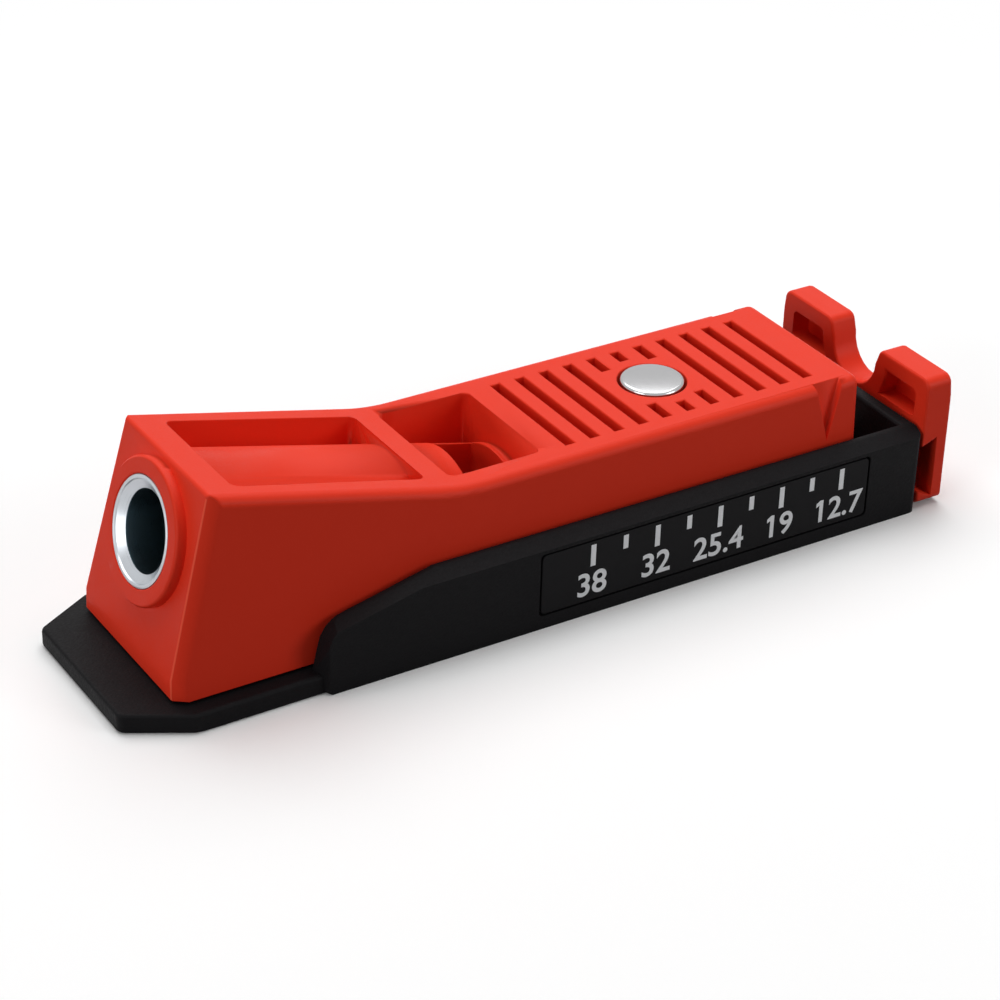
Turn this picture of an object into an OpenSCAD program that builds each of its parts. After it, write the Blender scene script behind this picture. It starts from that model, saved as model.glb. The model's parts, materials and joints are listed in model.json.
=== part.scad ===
// Pocket hole jig: a sled with a sliding drill guide and a swivelling edge stop.
// Millimetres, +Z up. The origin is under the middle of the sled and stop together.
// +X points at the edge stop, and the side with the readable scale faces -Y.

/* [Sled] */
// Length of the sled from its front edge to the outer face of its end wall
sled_l = 108.8; // [108:0.2:116]
// Width of the sled over its two side walls
sled_w = 30.8; // [30.4:0.1:34]
// Distance of the bare plate's sides inside the walls' outer faces
plate_inset = 0.8; // [0.3:0.1:1.2]
// Thickness of the sled's floor
plate_t = 2.5; // [2.4:0.1:3]
// Length of each cut front corner
corner_cut_l = 7.5; // [4:0.5:9]
// Width of each cut front corner
corner_cut_w = 4.2; // [2:0.2:6]
// Rounding of the cut front corners
corner_r = 1.2; // [0.6:0.1:2]
// Height of the walls over the underside
wall_h = 11.9; // [11:0.1:12.4]
// Thickness of each side wall
wall_t = 2.65; // [2.2:0.05:2.8]
// Length of the side walls up to the outer face of the end wall
wall_l = 85.7; // [80:0.5:92]
// Thickness of the end wall
end_wall_t = 1.8; // [1.6:0.1:2.4]
// Angle by which the front of each side wall leans back
wall_lean = 12.5; // [0:0.5:20]
// Angle of the sloped part on top of each side wall
wall_slope = 13.1; // [8:0.5:18]
// Length from the walls' front foot to the top of their slope
wall_slope_l = 15.7; // [14:0.1:20]
// Sideways tilt of the sloped part
wall_slope_tilt = 12; // [6:1:16]
// Rounding of the nose between the front and the slope
wall_nose_r = 3; // [1:0.5:4]
// Width of the level rim on top of each side wall
wall_rim_w = 0.7; // [0.4:0.1:1.2]
// Height of the bevel outside that rim
wall_bevel_h = 1.05; // [0.6:0.05:1.4]
// Length of the bevel on the front edge of each side wall
nose_bevel_l = 0.9; // [0.4:0.1:1.6]
// Width of the bevel on the front edge of each side wall
nose_bevel_w = 2.2; // [1.2:0.1:2.4]
// Rounding of the two rear corners
rear_corner_r = 1; // [0.5:0.1:1.5]

/* [Scale] */
// Distance between two numbered marks
mark_step = 9.184; // [8.8:0.05:9.6]
// Number of steps from the first to the last numbered mark
mark_steps = 4; // [4:1:4]
// Distance of the last mark from the outer face of the end wall
last_mark_back = 12.66; // [12.3:0.05:13.2]
// Length of each scale plate
scale_l = 48; // [46:0.5:50]
// Height of each scale plate
scale_h = 8.05; // [7.6:0.05:8.4]
// Height of the scale plates' lower edge over the underside
scale_z = 2.08; // [1.9:0.05:2.4]
// Length of scale plate behind the last mark
scale_rear_l = 4.16; // [3.6:0.1:5]
// Thickness of each scale plate
scale_t = 0.6; // [0.4:0.1:1]
// Groove between a scale plate and its recess
scale_groove = 0.25; // [0.15:0.05:0.35]
// Rounding of the scale plates' corners
scale_r = 0.6; // [0.3:0.1:1]

/* [Guide body] */
// Length of the guide body
guide_l = 94.6; // [93:0.2:96]
// Gap between the guide body's foot and each side wall
guide_side_gap = 0.38; // [0.34:0.02:0.5]
// Height of the level top over the underside
guide_h = 19.73; // [19.4:0.1:20.4]
// Height over the underside at which the front face and the slope would meet
guide_front_h = 27.43; // [26.8:0.01:28]
// Height of the vertical strip at the foot of the front face
front_strip_h = 2.6; // [1.8:0.1:4]
// Length from the front to the crease between slope and level top
crease_l = 37.3; // [36:0.1:37.5]
// Half the length over which the crease is blended
crease_blend_l = 3; // [1:0.5:4]
// Lean of each side
side_draft = 2.6; // [1.5:0.1:4]
// Length of the upright bevel at each front corner
front_bevel_l = 1.6; // [1:0.1:2.4]
// Width of the upright bevel at each front corner
front_bevel_w = 1.21; // [0.6:0.05:1.8]
// Rounding of the long top edges
top_edge_r = 1.3; // [0.8:0.1:2]
// Rounding between the front face and the slope
front_edge_r = 0.6; // [0.3:0.1:1]
// Rounding round the rear face
rear_edge_r = 1; // [0.5:0.1:1.4]
// Distance of the pointer from the rear face
pointer_back = 4.66; // [4.2:0.1:5.2]
// Width of the pointer notch at the top
pointer_w = 4; // [3:0.1:5]
// Height of the pointer's tip over the underside
pointer_z = 12; // [11:0.1:13]
// Depth of the pointer notch
pointer_t = 1.1; // [0.6:0.1:1.2]

/* [Windows and slots] */
// Distance of the windows' sides inside the guide body's foot
window_side = 3.97; // [3.8:0.01:4.4]
// Distance of the first window from the front
window_front = 9.5; // [9:0.1:11]
// Width of the bar between the windows
bar_w = 3.1; // [2.4:0.1:4]
// Length of the second window
chip_window_l = 12.6; // [11:0.1:13]
// Rounding of the windows' corners
window_r = 0.9; // [0.4:0.1:1.2]
// Number of slots in the clamp pad
slot_count = 11; // [7:2:11]
// Distance between neighbouring slots
slot_pitch = 3.484; // [3.3:0.02:3.5]
// Width of each slot
slot_w = 1.3; // [1:0.1:1.5]
// Distance of the long slots' ends inside the guide body's foot
slot_side = 3.92; // [3.7:0.01:4.4]
// Distance of the clamp pad's centre from the front
pad_back = 71.35; // [71:0.05:72]
// Thickness of material left between slots and tunnel
slot_floor_t = 1.6; // [1.2:0.1:2]

/* [Drill guide] */
// Angle of the drill to the sled's floor
drill_angle = 14.3; // [14:0.1:15]
// Diameter of the drill that the bushing guides
drill_d = 9.6; // [9:0.1:10]
// Distance of the bushing's mouth behind the front, on its axis
mouth_back = 2; // [1.8:0.05:2.2]
// Height of the bushing's mouth over the underside, on its axis
mouth_z = 18.48; // [18.3:0.05:18.6]
// Wall of the bushing
bushing_wall_t = 1.7; // [1.4:0.05:1.9]
// Length of the bushing
bushing_l = 36; // [30:0.5:36.5]
// Width of the bevel that leads into the bushing
countersink_w = 1.2; // [0.9:0.05:1.3]
// Depth of that bevel
countersink_t = 1.1; // [0.6:0.1:1.6]
// Wall of the boss round the bushing's mouth
boss_wall_t = 2.1; // [2:0.05:2.2]
// Bevel on the rim of the boss
boss_bevel = 0.35; // [0.2:0.05:0.5]
// Wall of the barrel that crosses both windows
barrel_wall_t = 2.8; // [2.3:0.05:2.9]
// Distance of the barrel's start from the bushing's mouth, inside the front wall
barrel_start = 4.8; // [3.6:0.1:5]
// Length of the chip hole in the barrel's top, which is as wide as the drill
chip_hole_l = 6.5; // [5:0.1:7]
// Distance of the chip hole from the second window's rear side
chip_hole_back = 1.5; // [0.8:0.1:2]
// Room beside the drill in the hollow of the rear block
tunnel_side = 3.8; // [3.2:0.1:3.9]
// Wall between the second window and that hollow
tunnel_wall = 1.8; // [1.4:0.1:2.2]

/* [Magnet] */
// Diameter of the magnet
magnet_d = 8; // [7:0.1:8.2]
// Thickness of the magnet
magnet_t = 3; // [2:0.2:4]
// Height by which the magnet stands out of the pad
magnet_proud = 0.3; // [0.1:0.1:0.5]
// Bevel on the magnet's rim
magnet_bevel = 0.45; // [0.2:0.05:0.6]
// Clearance round the magnet in its pocket
magnet_gap = 0.3; // [0.2:0.05:0.4]
// Wall left round the magnet's pocket
magnet_wall = 1.7; // [1.3:0.1:1.9]
// Thickness of the steel disc behind the magnet
backing_t = 0.8; // [0.5:0.1:1.2]

/* [Edge stop] */
// Thickness of the edge stop
stop_t = 3.9; // [3.6:0.1:4.4]
// Distance of the edge stop's sides inside the sled's sides
stop_inset = 0.45; // [0.2:0.05:0.9]
// Height of the edge stop's lower edge over the underside
stop_z = 0.5; // [0.3:0.1:1]
// Height of the edge stop's top over the underside
stop_top_z = 18.3; // [17.8:0.1:19]
// Rounding of the edge stop's top corners
stop_top_r = 1.3; // [0.8:0.1:2]
// Rounding of the edge stop's bottom corners
stop_bottom_r = 1; // [0.5:0.1:1.5]
// Radius of the notch's round bottom
notch_r = 4.2; // [3.8:0.1:4.6]
// Height of the notch's deepest point over the underside
notch_z = 11.75; // [11.5:0.05:12]
// Half width of the notch at the top
notch_top_r = 5; // [4.8:0.1:5.4]
// Rounding of the notch's top corners
notch_corner_r = 1.2; // [0.6:0.1:1.6]
// Depth of the pockets in the stop's front
stop_core_t = 2.6; // [2:0.1:2.8]
// Wall between the notch and the horn pockets
notch_wall_t = 2.5; // [2:0.1:3]
// Wall outside the horn pockets
horn_wall_t = 2.25; // [1.8:0.05:2.6]
// Lower and upper height of the horn pockets over the underside
horn_pocket_z = [12.3, 16.1];
// Rounding of the horn pockets
horn_pocket_r = 0.7; // [0.4:0.1:1]
// Depth of the side recesses from the stop's front
recess_t = 2.35; // [2:0.05:2.6]
// Lower and upper height of a side recess at the stop's front
recess_front_z = [3, 8.4];
// Lower and upper height of a side recess at its back
recess_rear_z = [1.4, 9.5];
// Half width of the solid middle between the side recesses
stop_hub_w = 7; // [5:0.2:9]

/* [Fasteners] */
// Diameter of the stop's pivot screw
pivot_d = 3; // [2.5:0.1:3.2]
// Height of the pivot over the underside
pivot_z = 5.9; // [5.8:0.02:6.1]
// Diameter of the pivot screw's head
pivot_head_d = 5.6; // [5:0.1:6]
// Height of the pivot screw's head
pivot_head_t = 1.2; // [1:0.1:1.3]
// Thickness of the spring washer under the nut
washer_t = 0.6; // [0.4:0.1:0.8]
// Width of the nut over its corners
nut_d = 6.35; // [6:0.05:6.4]
// Thickness of the nut
nut_t = 2.4; // [2:0.1:2.6]
// Diameter of the screws that hold the guide body down
hold_screw_d = 2; // [1.8:0.1:2.2]
// Diameter of those screws' heads
hold_head_d = 4.4; // [4:0.1:4.6]
// Height of those screws' heads
hold_head_t = 1.1; // [0.8:0.05:1.15]
// Depth to which those screws reach into the guide body
hold_screw_l = 6; // [4:0.5:6]
// Distance of those screws inside the guide body's foot
hold_screw_side = 2.12; // [2:0.02:2.3]
// Distances of the front and rear pair from the guide's front
hold_screw_back = [43.2, 88.2];
// Depth of the recesses for those heads in the sled's underside
hold_recess_t = 1.45; // [1.4:0.05:1.5]

/* [Clearances] */
// Gap between pieces that move past each other
run_gap = 0.3; // [0.25:0.05:0.35]
// Radial clearance of the stop on its pivot
pivot_gap = 0.05; // [0.02:0.01:0.1]
// Radial clearance of pieces pressed or screwed into a hole
seat_gap = 0.02; // [0.01:0.01:0.03]
// Clearance of the drill in the floor, beside the bushing's bore
drill_gap = 0.6; // [0.4:0.1:0.8]
// Overrun of cutting shapes past the faces they cut
over = 1; // [0.5:0.1:1.5]

/* [Hidden] */
$fn = 64;
arc_steps = 6;
tunnel_steps = 24;
slope_stations = 6;

total_l = sled_l + run_gap + stop_t;
sled_front_x = -total_l / 2;
end_x = sled_front_x + sled_l;
wall_front_x = end_x - wall_l;
end_wall_x = end_x - end_wall_t;
channel_w = sled_w - 2 * wall_t;
plate_w = sled_w - 2 * plate_inset;
stop_w = sled_w - 2 * stop_inset;
guide_w = channel_w - 2 * guide_side_gap;
window_w = guide_w - 2 * window_side;
slot_l = guide_w - 2 * slot_side;
hold_screw_y = guide_w / 2 - hold_screw_side;
stop_x = end_x + run_gap;

travel = mark_step * mark_steps;
pointer_x = end_x - last_mark_back;
guide_rear_x = pointer_x + pointer_back;
guide_x = guide_rear_x - guide_l;
guide_z = plate_t + run_gap;
crease_x = guide_x + crease_l;
strip_z = guide_z + front_strip_h;
front_top_x = guide_x + (guide_front_h - strip_z) * tan(drill_angle);
top_slope = (guide_front_h - guide_h) / (crease_x - front_top_x);

bushing_d = drill_d + 2 * bushing_wall_t;
boss_d = bushing_d + 2 * boss_wall_t;
barrel_d = bushing_d + 2 * barrel_wall_t;
mouth_x = guide_x + mouth_back;
bar_x = crease_x - bar_w;
chip_window_x = crease_x + chip_window_l;
pad_x = guide_x + pad_back;
pocket_r = magnet_d / 2 + magnet_gap;
keep_r = pocket_r + magnet_wall;
tunnel_r = drill_d / 2 + tunnel_side;
tunnel_x = chip_window_x + tunnel_wall;
notch_mid_z = notch_z + notch_r;
pivot_hole_r = pivot_d / 2 + pivot_gap;
head_pocket_t = pivot_head_t + run_gap;
head_pocket_r = pivot_head_d / 2 + run_gap;
hold_slot_r = hold_screw_d / 2 + run_gap;
hold_recess_r = hold_head_d / 2 + run_gap;
drill_slot_w = drill_d + 2 * drill_gap;

// Height of the drill's axis over the underside at a place along the sled
function axis_z(x) = mouth_z - (x - mouth_x) * tan(drill_angle);

// Half width of the guide body at a height over the underside
function side_y(z) = guide_w / 2 - (z - guide_z) * tan(side_draft);

// Height of the guide body's top, with a soft blend at the crease
function top_z(x) = let (d = crease_x - x, b = crease_blend_l)
    d >= b ? guide_h + d * top_slope :
    d <= -b ? guide_h :
    guide_h + top_slope * pow(d + b, 2) / (4 * b);

// Height over everything that the guide body's outer form reaches
high_z = top_z(guide_x - over) + over;

// Unit vector from one point to another
function toward(a, b) = (b - a) / norm(b - a);

// Points of the arc of radius r that rounds the corner b between a and c
function corner(a, b, c, r) = r == 0 ? [b] :
    let (u = toward(b, a), v = toward(b, c), half = acos(u * v) / 2)
    let (m = b + (u + v) / norm(u + v) * r / sin(half))
    let (p = b + u * r / tan(half) - m, q = b + v * r / tan(half) - m)
    let (from = atan2(p.y, p.x), turn = (atan2(q.y, q.x) - from + 540) % 360 - 180)
    [for (i = [0:arc_steps]) m + r * [cos(from + turn * i / arc_steps), sin(from + turn * i / arc_steps)]];

// Outline with each corner rounded by its own radius
function rounded(points, radii) = let (n = len(points))
    [for (i = [0:n - 1]) each corner(points[(i + n - 1) % n], points[i], points[(i + 1) % n], radii[i])];

// Rectangle outline between two opposite corners, with one rounding
function rounded_box(low, high, r) =
    rounded([low, [high.x, low.y], high, [low.x, high.y]], [r, r, r, r]);

// Extrudes an outline in x and z across the jig, centred on the middle
module across(width) {
    translate([0, width / 2, 0])
        rotate([90, 0, 0])
            linear_extrude(width)
                children();
}

// Extrudes an outline in y and z along +X
module along(length) {
    rotate([90, 0, 90])
        linear_extrude(length)
            children();
}

// Repeats a near-side shape on the far side
module both_sides() {
    children();
    mirror([0, 1, 0])
        children();
}

// Places a shape on the drill's axis, with +X pointing down the bore
module on_axis(s) {
    translate([mouth_x, 0, mouth_z])
        rotate([0, drill_angle, 0])
            translate([s, 0, 0])
                children();
}

// Round bar along +X
module bar_x_dir(length, radius) {
    rotate([0, 90, 0])
        cylinder(h = length, r = radius);
}

// Upright slot with round ends between two places along the jig
module long_hole(x0, x1, radius, height) {
    translate([x0, -radius, 0])
        cube([x1 - x0, 2 * radius, height]);
    for (x = [x0, x1])
        translate([x, 0, 0])
            cylinder(h = height, r = radius);
}

// Plan of the floor: the plate with its cut corners, then the walled part
module floor_plan() {
    plate_y = plate_w / 2;
    cut_x = sled_front_x + corner_cut_l;
    cut_y = plate_y - corner_cut_w;
    points = [[sled_front_x, -cut_y], [cut_x, -plate_y], [end_x - over, -plate_y],
        [end_x - over, plate_y], [cut_x, plate_y], [sled_front_x, cut_y]];
    linear_extrude(plate_t)
        polygon(rounded(points, [corner_r, corner_r, 0, 0, corner_r, corner_r]));
}

// Plan of the walled part, with bevelled noses and rounded rear corners
module wall_block() {
    y = sled_w / 2;
    nose_y = y - nose_bevel_w;
    nose_x = wall_front_x + nose_bevel_l;
    r = rear_corner_r;
    points = [[wall_front_x, -nose_y], [nose_x, -y], [end_x, -y],
        [end_x, y], [nose_x, y], [wall_front_x, nose_y]];
    linear_extrude(wall_h)
        polygon(rounded(points, [0, 0, r, r, 0, 0]));
}

// Everything in front of the walls' leaning front, seen from the side
module nose_cut() {
    slope_z = wall_h - wall_slope_l * tan(wall_slope);
    lean = tan(wall_lean);
    meet_x = (slope_z - plate_t) * lean / (1 - lean * tan(wall_slope));
    meet_z = slope_z + meet_x * tan(wall_slope);
    top_x = (wall_h + over - slope_z) / tan(wall_slope);
    points = [[0, plate_t], [meet_x, meet_z], [top_x, wall_h + over],
        [-over, wall_h + over], [-over, plate_t]];
    translate([wall_front_x, 0, 0])
        across(sled_w + 2 * over)
            polygon(rounded(points, [0, wall_nose_r, 0, 0, 0]));
}

// Outward tilt of the sloped tops, cut on the near side
module slope_tilt_cut() {
    translate([wall_front_x + wall_slope_l, -channel_w / 2 - wall_rim_w, wall_h])
        rotate([wall_slope_tilt, -wall_slope, 0])
            translate([-wall_slope_l - over, -wall_t - over, 0])
                cube([wall_slope_l + over, wall_t + over, wall_h]);
}

// Bevel along the outer top edge of the near wall
module wall_bevel_cut() {
    rim_y = channel_w / 2 + wall_rim_w;
    out_y = sled_w / 2;
    slope = wall_bevel_h / (out_y - rim_y);
    points = [[-rim_y, wall_h], [-out_y - over, wall_h - wall_bevel_h - over * slope],
        [-out_y - over, wall_h + over], [-rim_y, wall_h + over]];
    translate([wall_front_x - over, 0, 0])
        along(wall_l + 2 * over)
            polygon(points);
}

// Outline of a scale plate, grown by a gap
module scale_outline(gap) {
    rear_x = pointer_x + scale_rear_l + gap;
    low = [rear_x - scale_l - 2 * gap, scale_z - gap];
    high = [rear_x, scale_z + scale_h + gap];
    polygon(rounded_box(low, high, scale_r));
}

// Plate that lies flush in the near wall
module scale_plate(thickness, gap) {
    translate([0, thickness - sled_w / 2, 0])
        rotate([90, 0, 0])
            linear_extrude(thickness)
                scale_outline(gap);
}

// Slots for the holding screws, with recesses for their heads underneath
module hold_slots() {
    for (back = hold_screw_back)
        translate([guide_x + back, -hold_screw_y, 0]) {
            translate([0, 0, -over])
                long_hole(-travel, 0, hold_slot_r, plate_t + 2 * over);
            translate([0, 0, -over])
                long_hole(-travel, 0, hold_recess_r, hold_recess_t + over);
        }
}

// Opening in the floor that the drill passes at every setting
module drill_slot() {
    reach = drill_d / 2 / sin(drill_angle);
    front_x = mouth_x + (mouth_z - plate_t) / tan(drill_angle) - reach - travel - drill_gap;
    rear_x = mouth_x + mouth_z / tan(drill_angle) + reach + drill_gap;
    low = [front_x, -drill_slot_w / 2];
    high = [min(rear_x, end_wall_x - drill_gap), drill_slot_w / 2];
    translate([0, 0, -over])
        linear_extrude(plate_t + 2 * over)
            polygon(rounded_box(low, high, drill_slot_w / 4));
}

module sled_base() {
    color("#1d1d1f")
        difference() {
            union() {
                floor_plan();
                difference() {
                    wall_block();
                    translate([wall_front_x - over, -channel_w / 2, plate_t])
                        cube([wall_l - end_wall_t + over, channel_w, wall_h]);
                    nose_cut();
                    both_sides() {
                        slope_tilt_cut();
                        wall_bevel_cut();
                    }
                }
            }
            both_sides() {
                translate([0, -over, 0])
                    scale_plate(scale_t + over, scale_groove);
                hold_slots();
            }
            drill_slot();
            translate([end_wall_x - over, 0, pivot_z])
                bar_x_dir(end_wall_t + 2 * over, pivot_d / 2 + seat_gap);
        }
}

module scale_plate_near() {
    color("#26262a")
        scale_plate(scale_t, 0);
}

module scale_plate_far() {
    color("#26262a")
        mirror([0, 1, 0])
            scale_plate(scale_t, 0);
}

// One cross-section of the guide body, drawn in by inset near the rear face
function guide_ring(x, inset) =
    let (h = top_z(x) - inset, r = max(top_edge_r - inset, front_edge_r))
    let (half = [for (i = [0:arc_steps])
        let (a = 90 * i / arc_steps, z = h - r + r * sin(a))
        [side_y(z) - inset - r * (1 - cos(a)), z]])
    let (foot = [side_y(guide_z) - inset, guide_z], n = len(half))
    concat([[x, -foot.x, foot.y]], [for (p = half) [x, -p.x, p.y]],
        [for (i = [1:n]) [x, half[n - i].x, half[n - i].y]], [[x, foot.x, foot.y]]);

// Places of the cross-sections: the front, the crease and the rear rounding
function guide_stations() = let (r = rear_edge_r, b = crease_blend_l, m = slope_stations)
    concat([[guide_x - over, 0]],
        [for (i = [0:m]) [crease_x - b + 2 * b * i / m, 0]],
        [for (i = [0:m]) let (a = 90 * i / m) [guide_rear_x - r + r * sin(a), r * (1 - cos(a))]]);

// Outer form of the guide body before its front is cut, as a loft through the sections
module guide_loft() {
    rings = [for (s = guide_stations()) guide_ring(s[0], s[1])];
    n = len(rings[0]);
    last = len(rings) - 1;
    sides = [for (i = [0:last - 1], j = [0:n - 1]) let (k = (j + 1) % n)
        each [[i * n + j, i * n + k, i * n + n + j], [i * n + k, i * n + n + k, i * n + n + j]]];
    front = [for (j = [0:n - 1]) n - 1 - j];
    rear = [for (j = [0:n - 1]) last * n + j];
    polyhedron([for (ring = rings) each ring], concat(sides, [front, rear]));
}

// Everything outside the leaning front face and its rounded top edge, seen from the side
module front_cut() {
    edge = [front_top_x, guide_front_h + seat_gap];
    below = [guide_x, strip_z];
    behind = [crease_x - crease_blend_l, top_z(crease_x - crease_blend_l) + seat_gap];
    arc = corner(below, edge, behind, front_edge_r);
    end = arc[arc_steps];
    across(guide_w + 2 * over)
        polygon(concat([[guide_x, guide_z - over], below], arc,
            [[end.x, high_z], [guide_x - 2 * over, high_z], [guide_x - 2 * over, guide_z - over]]));
}

// Bevel at the near front corner, which leans with the side and, above the strip, with the front
module front_corner_cut() {
    y = guide_w / 2;
    k = front_bevel_w / front_bevel_l;
    far_x = front_bevel_l + over;
    for (part = [[guide_z - over, 0], [strip_z, tan(drill_angle)]])
        multmatrix([[1, 0, part[1], guide_x - strip_z * part[1]],
                [0, 1, tan(side_draft), -guide_z * tan(side_draft)], [0, 0, 1, 0]])
            translate([0, 0, part[0]])
                linear_extrude(high_z)
                    polygon([[-over, front_bevel_w - y + over * k], [far_x, -y - over * k],
                        [far_x, -y - 2 * over], [-over, -y - 2 * over]]);
}

// Both windows and the hollow under them, leaving the bar
module windows() {
    half_w = window_w / 2;
    for (span = [[guide_x + window_front, bar_x], [crease_x, chip_window_x]])
        translate([0, 0, guide_z - over])
            linear_extrude(high_z)
                polygon(rounded_box([span[0], -half_w], [span[1], half_w], window_r));
}

// Boss that stands out of the front face
module boss() {
    on_axis(0)
        rotate([0, 90, 0]) {
            cylinder(h = boss_bevel, r1 = boss_d / 2 - boss_bevel, r2 = boss_d / 2);
            translate([0, 0, boss_bevel])
                cylinder(h = barrel_start - boss_bevel, r = boss_d / 2);
        }
}

// Barrel round the drill's way, from the front wall into the rear block
module barrel() {
    r = barrel_d / 2;
    end_s = (chip_window_x - mouth_x) / cos(drill_angle) + r * tan(drill_angle);
    intersection() {
        on_axis(barrel_start - boss_bevel)
            bar_x_dir(end_s - barrel_start, r);
        guide_loft();
    }
}

// Opening in the barrel's top through which the chips leave
module chip_hole() {
    x = chip_window_x - chip_hole_back;
    translate([x - chip_hole_l, -drill_d / 2, axis_z(x)])
        cube([chip_hole_l, drill_d, guide_h]);
}

// Arched way for the drill through the rear block, open to the underside
module tunnel() {
    arch = [for (i = [0:tunnel_steps]) let (a = 180 * i / tunnel_steps) tunnel_r * [cos(a), sin(a)]];
    start_s = (tunnel_x - mouth_x) / cos(drill_angle) - tunnel_r * tan(drill_angle) - over;
    intersection() {
        on_axis(start_s)
            along(guide_l)
                polygon(concat(arch, [[-tunnel_r, -guide_h], [tunnel_r, -guide_h]]));
        translate([tunnel_x, -guide_w / 2, -guide_h])
            cube([guide_l, guide_w, 2 * guide_h]);
    }
}

// One slot of the clamp pad, interrupted where it would meet the magnet's pocket
module pad_slot(offset) {
    x = pad_x + offset;
    z = axis_z(x) + (tunnel_r + slot_floor_t) / cos(drill_angle);
    inner = abs(offset) < keep_r ? sqrt(pow(keep_r, 2) - pow(offset, 2)) : 0;
    if (inner > 0)
        both_sides()
            translate([x - slot_w / 2, inner, z])
                cube([slot_w, slot_l / 2 - inner, guide_h]);
    else
        translate([x - slot_w / 2, -slot_l / 2, z])
            cube([slot_w, slot_l, guide_h]);
}

// Notch in the near side whose tip points at the scale
module pointer_notch() {
    rise = (pointer_z - guide_z) / cos(side_draft);
    top = guide_h / cos(side_draft);
    half_w = pointer_w / 2;
    translate([pointer_x, -guide_w / 2, guide_z])
        rotate([90 - side_draft, 0, 0])
            translate([0, 0, -pointer_t])
                linear_extrude(pointer_t + over)
                    polygon([[0, rise], [half_w, top - guide_z], [half_w, top], [-half_w, top],
                        [-half_w, top - guide_z]]);
}

// Blind holes for the near holding screws
module hold_pilots() {
    for (back = hold_screw_back)
        translate([guide_x + back, -hold_screw_y, guide_z - over])
            cylinder(h = hold_screw_l + seat_gap + over, r = hold_screw_d / 2 + seat_gap);
}

module guide_body() {
    backing_z = guide_h + magnet_proud - magnet_t - backing_t;
    first = -(slot_count - 1) / 2;
    color("#e8432c")
        difference() {
            union() {
                difference() {
                    guide_loft();
                    front_cut();
                    both_sides()
                        front_corner_cut();
                    windows();
                }
                boss();
                barrel();
            }
            translate([guide_x - over, -guide_w, -guide_h])
                cube([guide_l + 2 * over, 2 * guide_w, guide_h + guide_z]);
            on_axis(-over)
                bar_x_dir(bushing_l + over, bushing_d / 2 + seat_gap);
            on_axis(bushing_l - over)
                bar_x_dir(guide_l, drill_d / 2 + drill_gap);
            chip_hole();
            tunnel();
            for (i = [0:slot_count - 1])
                pad_slot((first + i) * slot_pitch);
            translate([pad_x, 0, backing_z])
                cylinder(h = guide_h, r = pocket_r);
            both_sides() {
                pointer_notch();
                hold_pilots();
            }
        }
}

module drill_bushing() {
    bore_r = drill_d / 2;
    outer_r = bushing_d / 2;
    rim_r = bore_r + countersink_w;
    edge = (outer_r - rim_r) / 2;
    profile = [[bore_r, countersink_t], [rim_r, 0], [outer_r - edge, 0], [outer_r, edge],
        [outer_r, bushing_l], [bore_r, bushing_l]];
    color("#d9dde2")
        on_axis(0)
            rotate([0, 90, 0])
                rotate_extrude()
                    polygon(profile);
}

module clamp_magnet() {
    r = magnet_d / 2;
    color("#c9ccd0")
        translate([pad_x, 0, guide_h + magnet_proud - magnet_t]) {
            cylinder(h = magnet_t - magnet_bevel, r = r);
            translate([0, 0, magnet_t - magnet_bevel])
                cylinder(h = magnet_bevel, r1 = r, r2 = r - magnet_bevel);
        }
}

module magnet_backing() {
    color("#8f9296")
        translate([pad_x, 0, guide_h + magnet_proud - magnet_t - backing_t])
            cylinder(h = backing_t, r = pocket_r - seat_gap);
}

// Low-headed screw that points up, with its head's upper face at zero
module hold_screw() {
    translate([0, 0, -hold_head_t])
        cylinder(h = hold_head_t, r = hold_head_d / 2);
    cylinder(h = guide_z + hold_screw_l - hold_recess_t, r = hold_screw_d / 2);
}

module retaining_screws() {
    color("#a7abb0")
        both_sides()
            for (back = hold_screw_back)
                translate([guide_x + back, -hold_screw_y, hold_recess_t - seat_gap])
                    hold_screw();
}

// Outline of the edge stop in y and z, with its notch
function stop_outline() =
    let (y = stop_w / 2, m = 2 * arc_steps)
    let (low = [[-y, stop_z], [y, stop_z], [y, stop_top_z], [notch_top_r, stop_top_z]])
    let (arc = [for (i = [0:m]) [0, notch_mid_z] + notch_r * [cos(180 * i / m), -sin(180 * i / m)]])
    let (end = [[-notch_top_r, stop_top_z], [-y, stop_top_z]])
    let (b = stop_bottom_r, t = stop_top_r, c = notch_corner_r)
    rounded(concat(low, arc, end), concat([b, b, t, c], [for (p = arc) 0], [c, t]));

// Pocket in the front of the near horn, whose inner side follows the notch
module horn_pocket() {
    low = [horn_wall_t - stop_w / 2, horn_pocket_z[0]];
    high = [-notch_r, horn_pocket_z[1]];
    difference() {
        translate([stop_x - over, 0, 0])
            along(stop_core_t + over)
                polygon(rounded_box(low, high, horn_pocket_r));
        translate([stop_x - 2 * over, 0, notch_mid_z])
            bar_x_dir(stop_t + 2 * over, notch_r + notch_wall_t);
    }
}

// Recess in the stop's near side, below the horn
module side_recess() {
    x = stop_x - over;
    back_x = stop_x + recess_t;
    points = [[x, recess_front_z[0]], [back_x, recess_rear_z[0]],
        [back_x, recess_rear_z[1]], [x, recess_front_z[1]]];
    depth = stop_w / 2 - stop_hub_w;
    translate([0, -stop_hub_w - (depth + over) / 2, 0])
        across(depth + over)
            polygon(points);
}

module edge_stop() {
    color("#e8432c")
        difference() {
            translate([stop_x, 0, 0])
                along(stop_t)
                    polygon(stop_outline());
            both_sides() {
                horn_pocket();
                side_recess();
            }
            translate([stop_x - over, 0, pivot_z])
                bar_x_dir(stop_t + 2 * over, pivot_hole_r);
            translate([stop_x + stop_t - head_pocket_t, 0, pivot_z])
                bar_x_dir(head_pocket_t + over, head_pocket_r);
        }
}

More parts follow.
